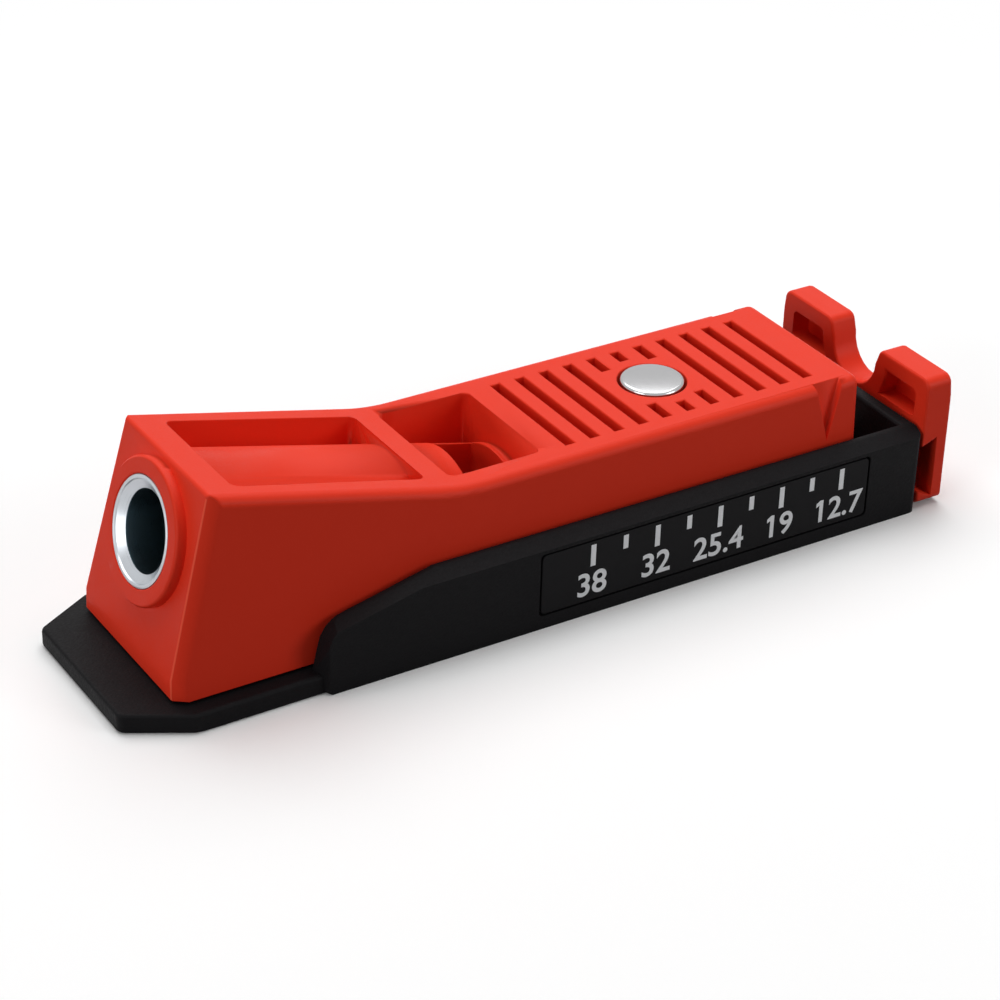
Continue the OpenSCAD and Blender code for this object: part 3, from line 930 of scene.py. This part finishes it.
@dataclass
class Scale:
    """The printed scale on one wall of the sled."""

    bench: Bench
    node: str
    side: int
    edge: float = 0.12 * MM
    step: float = 9.184 * MM
    last_mark: float = 4.16 * MM
    top: float = 7.63 * MM
    major: float = 2.91 * MM
    minor: float = 1.86 * MM
    mark_w: float = 0.7 * MM
    digit_z: float = 0.78 * MM
    digit_h: float = 3.2 * MM
    ink_t: float = 0.02 * MM
    numbers: tuple[str, ...] = ("12.7", "19", "25.4", "32", "38")
    # The writing's own units, in which a capital is about 0.7 high
    stroke: float = 0.016
    half_t: float = 0.01
    curve_steps: int = 6
    # The upstroke of a leading one, from its top left corner, as shares of its height
    flag: tuple[tuple[float, float], ...] = (
        (0.1, 0.0), (0.02, -0.01), (-0.15, -0.13), (-0.15, -0.29), (0.1, -0.17),
    )
    flag_t_share: float = 0.8

    def build(self, marks: MarkTree) -> None:
        """Builds the plate, its marks and its numbers.

        Args:
            marks: The tree that draws a row of marks.
        """
        low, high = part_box(self.node)
        face_y = low[1] if self.side < 0 else high[1]
        plate = self.bench.rounded(self.node, self.node + "_moulding", self.edge)
        self.bench.dress(plate, Body.SLED, Finish.SCALE, self.node)
        last_x = high[0] - self.last_mark
        rows = {
            "major": (self.major, len(self.numbers), 0.0),
            "minor": (self.minor, len(self.numbers) - 1, self.step / 2),
        }
        for kind, (height, count, back) in rows.items():
            name = f"{self.node}_{kind}_marks"
            row = marks.run(
                bpy.data.meshes.new(name),
                name,
                count=count,
                first=(last_x - back, face_y, low[2] + self.top - height / 2),
                step=(-self.step, 0.0, 0.0),
                size=(self.mark_w, 2 * self.ink_t, height),
                finish=self.bench.ink,
            )
            self.bench.dress(row, Body.SLED, Finish.SCALE, material=self.bench.ink)
        for index, number in enumerate(self.numbers):
            spot = Vector((last_x - index * self.step, face_y, low[2] + self.digit_z))
            self.number(number, spot)

    def number(self, text: str, spot: Vector) -> None:
        """Prints one number.

        Args:
            text: The number.
            spot: Where the middle of its foot is.
        """
        name = f"{self.node}_number_{text}"
        mesh = self.writing(text, name)
        across = [vertex.co.x for vertex in mesh.vertices]
        up = [vertex.co.y for vertex in mesh.vertices]
        size = self.digit_h / (max(up) - min(up))
        turn = Matrix.Rotation(math.pi / 2, 4, "X")
        if self.side > 0:
            turn = Matrix.Rotation(math.pi, 4, "Z") @ turn
        mesh.transform(
            Matrix.Translation(spot)
            @ turn
            @ Matrix.Diagonal((size, size, self.ink_t / self.half_t, 1.0))
            @ Matrix.Translation((-(min(across) + max(across)) / 2, -min(up), 0))
        )
        piece = put(mesh, name.replace(".", "_"))
        self.bench.dress(piece, Body.SLED, Finish.SCALE, material=self.bench.ink)

    def writing(self, text: str, name: str) -> bpy.types.Mesh:
        """Writes a number flat on the ground.

        Args:
            text: The number.
            name: The name of its curve.

        Returns:
            The writing, in its own units.
        """
        curve = bpy.data.curves.new(name, "FONT")
        curve.body = text
        curve.align_x = "CENTER"
        curve.offset = self.stroke
        curve.extrude = self.half_t
        curve.resolution_u = self.curve_steps
        writing = put(curve, name)
        graph = bpy.context.evaluated_depsgraph_get()
        mesh = bpy.data.meshes.new_from_object(writing.evaluated_get(graph))
        bpy.data.objects.remove(writing)
        if text.startswith("1"):
            self.upstroke(mesh)
        return mesh

    def upstroke(self, mesh: bpy.types.Mesh) -> None:
        """Adds the slanting upstroke to a leading figure one.

        Args:
            mesh: The writing, flat on the ground.
        """
        across = [vertex.co.x for vertex in mesh.vertices]
        up = [vertex.co.y for vertex in mesh.vertices]
        tall = max(up) - min(up)
        corners = [(x * tall + min(across), y * tall + max(up)) for x, y in self.flag]
        thick = self.flag_t_share * self.half_t
        shape = bmesh.new()
        shape.from_mesh(mesh)
        tube(shape, [[(x, y, z) for x, y in corners] for z in (-thick, thick)])
        bmesh.ops.recalc_face_normals(shape, faces=shape.faces)
        shape.to_mesh(mesh)
        shape.free()


@dataclass
class Screw:
    """A screw with a cross recess and a true helical thread.

    It lies along -X, with its head's outer face at the origin. The recess's length and
    width are shares of the head's radius.
    """

    head_r: float
    head_t: float
    shank_r: float
    length: float
    pitch: float
    steps: int = 32
    steps_per_turn: int = 8
    core_share: float = 0.8
    rounding_share: float = 0.25
    recess_l: float = 0.59375
    recess_w: float = 0.14
    recess_depth_share: float = 0.7
    recess_top: float = 1.12
    recess_foot: float = 0.45
    recess_out: float = 0.2

    def build(self, name: str) -> bpy.types.Object:
        """Builds the screw.

        Args:
            name: The new piece's name.

        Returns:
            The screw.
        """
        rounding = self.rounding_share * self.head_t
        rows = [
            [(0.0, self.head_r - rounding)] * self.steps,
            [(-rounding, self.head_r)] * self.steps,
            [(-self.head_t, self.head_r)] * self.steps,
        ]
        count = int(self.length / self.pitch * self.steps_per_turn)
        rows += [self.thread(self.length * i / count) for i in range(count + 1)]
        around = turns(self.steps)
        sections = [
            [(x, r * math.cos(turn), r * math.sin(turn)) for (x, r), turn in zip(row, around)]
            for row in rows
        ]
        shape = bmesh.new()
        tube(shape, sections)
        screw = solid(shape, name)
        for turn in (0.0, math.pi / 2):
            carve(screw, self.blade(turn), "DIFFERENCE")
        return screw

    def thread(self, along: float) -> Profile:
        """Works out the section of the thread.

        Args:
            along: Distance from the head.

        Returns:
            The points round the thread, as (place along X, radius).
        """
        core = self.core_share * self.shank_r
        fade = min(1.0, (self.length - along) / self.pitch)
        row = []
        for j in range(self.steps):
            phase = (along / self.pitch - j / self.steps) % 1.0
            crest = 1.0 - abs(2.0 * phase - 1.0)
            row.append((-self.head_t - along, core + (self.shank_r - core) * crest * fade))
        return row

    def blade(self, turn: float) -> bpy.types.Object:
        """Builds one tapered blade of the cross recess.

        Args:
            turn: Turn about the screw's axis, in radians.

        Returns:
            The blade, standing in the head's face.
        """
        depth = self.recess_depth_share * self.head_t
        half_l = self.recess_l * self.head_r
        half_w = self.recess_w * self.head_r
        ends = ((self.recess_out * depth, self.recess_top), (-depth, self.recess_foot))
        corners = ((-1, -1), (1, -1), (1, 1), (-1, 1))
        sections = [
            [(x, y * share * half_l, z * half_w) for y, z in corners] for x, share in ends
        ]
        shape = bmesh.new()
        tube(shape, sections)
        shape.transform(Matrix.Rotation(turn, 4, "X"))
        return solid(shape, "blade")


@dataclass
class Sled:
    """The black sled with its scales and the stop's pivot."""

    bench: Bench
    edge: float = 0.5 * MM
    shank_r: float = 1.5 * MM
    head_t: float = 1.2 * MM
    pitch: float = 0.5 * MM
    nut_edge: float = 0.1 * MM
    nut_turning: float = 0.3 * MM
    washer_gap: float = 0.05 * MM
    washer_t_share: float = 0.5
    washer_waves: int = 3

    def build(self) -> None:
        """Builds every piece that moves with the sled."""
        base = self.bench.rounded("sled_base", "sled_moulding", self.edge)
        self.bench.dress(base, Body.SLED, Finish.BLACK, "sled_base")
        marks = MarkTree()
        for node, side in (("scale_plate_near", -1), ("scale_plate_far", 1)):
            Scale(self.bench, node, side).build(marks)
        self.pivot()
        self.nut()
        self.washer()

    def pivot(self) -> None:
        """Builds the pivot screw."""
        low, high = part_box("stop_pivot_screw")
        length = high[0] - low[0] - self.head_t
        head_r = (high[2] - low[2]) / 2
        screw = Screw(head_r, self.head_t, self.shank_r, length, self.pitch).build("pivot_screw")
        screw.data.transform(Matrix.Translation((high[0], 0, (low[2] + high[2]) / 2)))
        self.bench.dress(screw, Body.SLED, Finish.SCREW, "stop_pivot_screw")

    def nut(self) -> None:
        """Builds the hexagon nut, with its corners turned down."""
        nut = self.bench.rounded("stop_nut", "pivot_nut", self.nut_edge)
        low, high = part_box("stop_nut")
        corner = (high[2] - low[2]) / 2
        flat = corner * math.cos(math.pi / 6)
        tall = high[0] - low[0]
        turn = self.nut_turning
        inner = flat - turn
        outer = corner + turn / 4
        profile = [
            (-turn, 0), (-turn, inner), (turn, outer),
            (tall - turn, outer), (tall + turn, inner), (tall + turn, 0),
        ]
        place = Matrix.Translation((low[0], 0, (low[2] + high[2]) / 2))
        carve(nut, turned(profile, "nut_turning", place, steps=64), "INTERSECT")
        self.bench.dress(nut, Body.SLED, Finish.SCREW, "stop_nut")

    def washer(self) -> None:
        """Builds the waved spring washer."""
        low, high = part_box("stop_spring_washer")
        middle_z = (low[2] + high[2]) / 2
        outer = (high[2] - low[2]) / 2
        inner = self.shank_r + self.washer_gap
        thick = self.washer_t_share * (high[0] - low[0])
        profile = [(0, inner), (0, outer), (thick, outer), (thick, inner)]
        place = Matrix.Translation((low[0], 0, middle_z))
        washer = turned(profile, "pivot_spring_washer", place, steps=72)
        rise = high[0] - low[0] - thick
        for vertex in washer.data.vertices:
            angle = math.atan2(vertex.co.z - middle_z, vertex.co.y)
            vertex.co.x += rise * (0.5 + 0.5 * math.cos(self.washer_waves * angle))
        self.bench.dress(washer, Body.SLED, Finish.SCREW, "stop_spring_washer")


@dataclass(frozen=True)
class Bore:
    """The bushing's bore, with its axis's slope in radians."""

    mouth: Vector
    tilt: float
    radius: float
    countersink_t: float

    @classmethod
    def read(cls, frame: dict, countersink_t: float = 1.1 * MM) -> Bore:
        """Reads the bore from the record's mount.

        Args:
            frame: The loaded frame.
            countersink_t: Depth of the countersink before the bore.

        Returns:
            The bore, with the middle of the bushing's mouth.
        """
        mounts = {mount["name"]: mount for mount in frame["record"]["mounts"]}
        mount = mounts["drill_guide_bore"]
        axis = Vector(mount["axis"])
        mouth = Vector(mount["pos_m"]) + axis * countersink_t
        tilt = math.atan2(axis.z, -axis.x)
        return cls(mouth, tilt, mount["dims"]["r_mm"] * MM, countersink_t)


@dataclass
class Guide:
    """The red guide body with its bushing, magnet and screws."""

    bench: Bench
    bore: Bore
    edge: float = 0.2 * MM
    sharp: float = 48.0
    rim_r: float = 6.0 * MM
    bushing_r: float = 6.5 * MM
    bushing_l: float = 36 * MM
    bushing_edge: float = 0.22 * MM
    inner_lip: float = 0.05 * MM
    outer_lip: float = 0.07 * MM
    magnet_rim: float = 0.45 * MM
    magnet_rim_steps: int = 5
    screw_r: float = 1.0 * MM
    screw_head_r: float = 2.2 * MM
    screw_head_t: float = 1.1 * MM
    screw_pitch: float = 0.7 * MM

    def build(self) -> None:
        """Builds every piece that moves with the guide."""
        body = self.bench.rounded("guide_body", "guide_moulding", self.edge, self.sharp)
        self.bench.dress(body, Body.GUIDE, Finish.RED, "guide_body")
        self.bushing()
        self.magnet()
        self.bench.paint("magnet_backing", Finish.SCREW)
        self.screws()

    def bushing(self) -> None:
        """Builds the hardened drill bushing."""
        edge = self.bushing_edge
        sink = self.bore.countersink_t
        bore_r = self.bore.radius
        profile = [
            (sink, bore_r),
            (sink - edge, bore_r + edge / 3),
            (edge, self.rim_r - edge / 2),
            (self.inner_lip, self.rim_r),
            (0.0, self.rim_r + edge / 2),
            (0.0, self.bushing_r - edge),
            (self.outer_lip, self.bushing_r - 0.3 * edge),
            (edge, self.bushing_r),
            (self.bushing_l - edge, self.bushing_r),
            (self.bushing_l, self.bushing_r - edge),
            (self.bushing_l, bore_r + edge),
            (self.bushing_l - edge, bore_r),
        ]
        place = Matrix.Translation(self.bore.mouth) @ Matrix.Rotation(self.bore.tilt, 4, "Y")
        piece = turned(profile, "drill_bushing_turned", place, steps=128, sharp=24.0)
        self.bench.dress(piece, Body.GUIDE, Finish.BUSHING, "drill_bushing")

    def magnet(self) -> None:
        """Builds the plated magnet with its rounded rim."""
        low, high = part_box("clamp_magnet")
        radius = (high[0] - low[0]) / 2
        tall = high[2] - low[2]
        rim = self.magnet_rim
        profile = [(0.0, 0.0), (0.0, radius)]
        for step in range(self.magnet_rim_steps + 1):
            turn = math.pi / 2 * step / self.magnet_rim_steps
            along = tall - rim + rim * math.sin(turn)
            profile.append((along, radius - rim + rim * math.cos(turn)))
        profile.append((tall, 0.0))
        middle = ((low[0] + high[0]) / 2, (low[1] + high[1]) / 2, low[2])
        place = Matrix.Translation(middle) @ Matrix.Rotation(-math.pi / 2, 4, "Y")
        piece = turned(profile, "clamp_magnet_plated", place, sharp=40.0)
        self.bench.dress(piece, Body.GUIDE, Finish.MAGNET, "clamp_magnet")

    def screws(self) -> None:
        """Builds the four screws that run in the sled's floor."""
        low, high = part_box("retaining_screws")
        reach = self.screw_head_r
        length = high[2] - low[2] - self.screw_head_t
        screw = Screw(reach, self.screw_head_t, self.screw_r, length, self.screw_pitch)
        shape = screw.build("hold_screw")
        shape.data.transform(Matrix.Rotation(math.pi / 2, 4, "Y"))
        places = [
            (x, y, low[2])
            for x in (low[0] + reach, high[0] - reach)
            for y in (low[1] + reach, high[1] - reach)
        ]
        mesh = bpy.data.meshes.new("hold_screws")
        mesh.from_pydata(places, [], [])
        steel = self.bench.materials[Finish.SCREW]
        piece = ScrewTree().run(mesh, "hold_screws", screw=shape, finish=steel)
        bpy.data.objects.remove(shape)
        self.bench.dress(piece, Body.GUIDE, Finish.SCREW, "retaining_screws")


@dataclass
class Stop:
    """The swivelling edge stop."""

    bench: Bench
    edge: float = 0.45 * MM

    def build(self) -> None:
        """Builds the stop's moulding."""
        piece = self.bench.rounded("edge_stop", "edge_stop_moulding", self.edge)
        self.bench.dress(piece, Body.STOP, Finish.STOP, "edge_stop")


@dataclass(frozen=True)
class Softbox:
    """A square softbox."""

    name: str
    spot: Point
    aim: Point
    size: float
    watts: float

    def hang(self) -> None:
        """Hangs the lamp at its spot, facing its aim."""
        light = bpy.data.lights.new(self.name, "AREA")
        light.shape = "SQUARE"
        light.size = self.size
        light.energy = self.watts
        facing = (Vector(self.aim) - Vector(self.spot)).to_track_quat("-Z", "Y")
        place = Matrix.Translation(self.spot) @ facing.to_matrix().to_4x4()
        put(light, self.name).matrix_world = place


@dataclass
class Studio:
    """Camera, lamps and floor. The camera's angles are in degrees."""

    azimuth: float = -32.743
    elevation: float = 30.382
    roll: float = 1.809
    focal_share: float = 2.9324
    sensor_mm: float = 36.0
    spot: Point = (-165.935 * MM, -257.232 * MM, 188.166 * MM)
    clip_start: float = 0.01
    floor_half: float = 3.0
    glow: Colour = (0.1, 0.1, 0.1)
    lamps: tuple[Softbox, ...] = (
        Softbox("key_softbox", (0.08, 0.24, 0.66), (0.0, 0.0, 0.0), 0.8, 5.6),
        Softbox("front_softbox", (-0.6, -0.12, 0.2), (0.0, 0.0, 0.015), 0.35, 1.35),
        Softbox("side_softbox", (0.3, -0.38, 0.2), (0.02, 0.0, 0.015), 0.25, 0.66),
    )

    def build(self) -> None:
        """Builds everything that isn't part of the jig."""
        self.camera()
        self.floor()
        self.world()
        for lamp in self.lamps:
            lamp.hang()

    def camera(self) -> None:
        """Places the camera as the photograph was taken."""
        lens = bpy.data.cameras.new("camera")
        lens.sensor_width = self.sensor_mm
        lens.lens = self.sensor_mm * self.focal_share
        lens.clip_start = self.clip_start
        camera = put(lens, "camera")
        camera.matrix_world = (
            Matrix.Translation(self.spot)
            @ Matrix.Rotation(math.radians(self.azimuth), 4, "Z")
            @ Matrix.Rotation(math.radians(90 - self.elevation), 4, "X")
            @ Matrix.Rotation(math.radians(self.roll), 4, "Z")
        )
        bpy.context.scene.camera = camera

    def floor(self) -> None:
        """Lays the white floor."""
        half = self.floor_half
        corners = [(-half, -half, 0), (half, -half, 0), (half, half, 0), (-half, half, 0)]
        mesh = bpy.data.meshes.new("floor")
        mesh.from_pydata(corners, [], [(0, 1, 2, 3)])
        mesh.materials.append(StudioFloor().build("studio_floor"))
        put(mesh, "floor")

    def world(self) -> None:
        """Surrounds the set with a white room that lights less than it shows."""
        shader = Shader(bpy.data.worlds.new("studio"))
        share = shader.shown("Is Glossy Ray", "Is Transmission Ray")
        inputs = {"Color": shader.blend(share, self.glow, WHITE), "Strength": 1.0}
        world = shader.surface("ShaderNodeBackground", inputs, "ShaderNodeOutputWorld")
        bpy.context.scene.world = world


def front_corner(frame: dict) -> tuple[Vector, Vector]:
    """Finds the long edge between the guide's front face and its near corner facet.

    Args:
        frame: The loaded frame.

    Returns:
        The edge's lower and upper end.
    """
    front_share = 0.1
    near_share = 0.15
    sharp = math.radians(48)
    shape = bmesh.new()
    shape.from_mesh(frame["nodes"]["guide_body"].data)
    bmesh.ops.remove_doubles(shape, verts=shape.verts, dist=MERGE)
    low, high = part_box("guide_body")
    front = low[0] + front_share * (high[0] - low[0])
    near = low[1] + near_share * (high[1] - low[1])
    found = []
    for edge in shape.edges:
        inside = all(vertex.co.x < front and vertex.co.y < near for vertex in edge.verts)
        if inside and edge.is_manifold and edge.calc_face_angle() >= sharp:
            found.append(edge)
    longest = max(found, key=lambda edge: edge.calc_length())
    bottom, top = sorted((vertex.co.copy() for vertex in longest.verts), key=lambda end: end.z)
    shape.free()
    return bottom, top


def finishes(bore: Bore, corner: tuple[Vector, Vector]) -> dict[Finish, bpy.types.Material]:
    """Builds the materials.

    Args:
        bore: The bushing's bore, which gets painted shade inside.
        corner: The ends of the guide's near front corner, which gets a painted highlight.

    Returns:
        The material of every slot.
    """
    black = {"colour": (0.0040, 0.0037, 0.0043), "worn": (0.0072, 0.0068, 0.0076)}
    red = {"colour": (0.76, 0.034, 0.013), "worn": (0.82, 0.044, 0.017)}
    smooth = {"grain": 0.3 * MM, "grain_depth": 0.01 * MM, "specular": 0.11}
    looks = {
        Finish.BLACK: MouldedPlastic(
            **black,
            roughness=0.55,
            grain=0.3 * MM,
            grain_depth=0.08 * MM,
            specular=0.07,
            grain_gloss=0.4,
        ),
        Finish.SCALE: MouldedPlastic(
            **black, roughness=0.55, grain=0.2 * MM, grain_depth=0.012 * MM, specular=0.08
        ),
        Finish.STOP: MouldedPlastic(**red, **smooth, roughness=0.42),
        # Painted highlight on the near front corner: a pale line for the light that its rounding
        # catches
        Finish.RED: MouldedPlastic(**red, **smooth, roughness=0.46, highlight_line=corner),
        Finish.BUSHING: TurnedMetal(
            colour=(0.62, 0.65, 0.68),
            dull=(0.36, 0.38, 0.41),
            roughness=0.3,
            ring=0.05 * MM,
            origin=tuple(bore.mouth),
            tilt=bore.tilt,
            # Painted shade: the dark inside of the bore is put in the bushing's colour
            bore_r=bore.radius + 0.06 * MM,
            bore=(0.09, 0.13, 0.15),
        ),
        Finish.MAGNET: TurnedMetal(
            colour=(0.42, 0.42, 0.425),
            dull=(0.39, 0.39, 0.395),
            roughness=0.2,
            ring=0.4 * MM,
            unevenness=0.15,
        ),
        Finish.SCREW: TurnedMetal(
            colour=(0.66, 0.67, 0.69), dull=(0.5, 0.51, 0.53), roughness=0.3, ring=0.2 * MM
        ),
    }
    return {finish: look.build(finish.value) for finish, look in looks.items()}


def main() -> None:
    """Builds the jig and its studio."""
    logging.basicConfig(level=logging.INFO, format="%(name)s: %(message)s")
    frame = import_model()
    bpy.context.scene.view_settings.view_transform = "Standard"
    Studio().build()
    bore = Bore.read(frame)
    materials = finishes(bore, front_corner(frame))
    bench = Bench(frame, materials, PrintedInk().build("print_ink"))
    Sled(bench).build()
    Guide(bench, bore).build()
    Stop(bench).build()


if __name__ == "__main__":
    main()
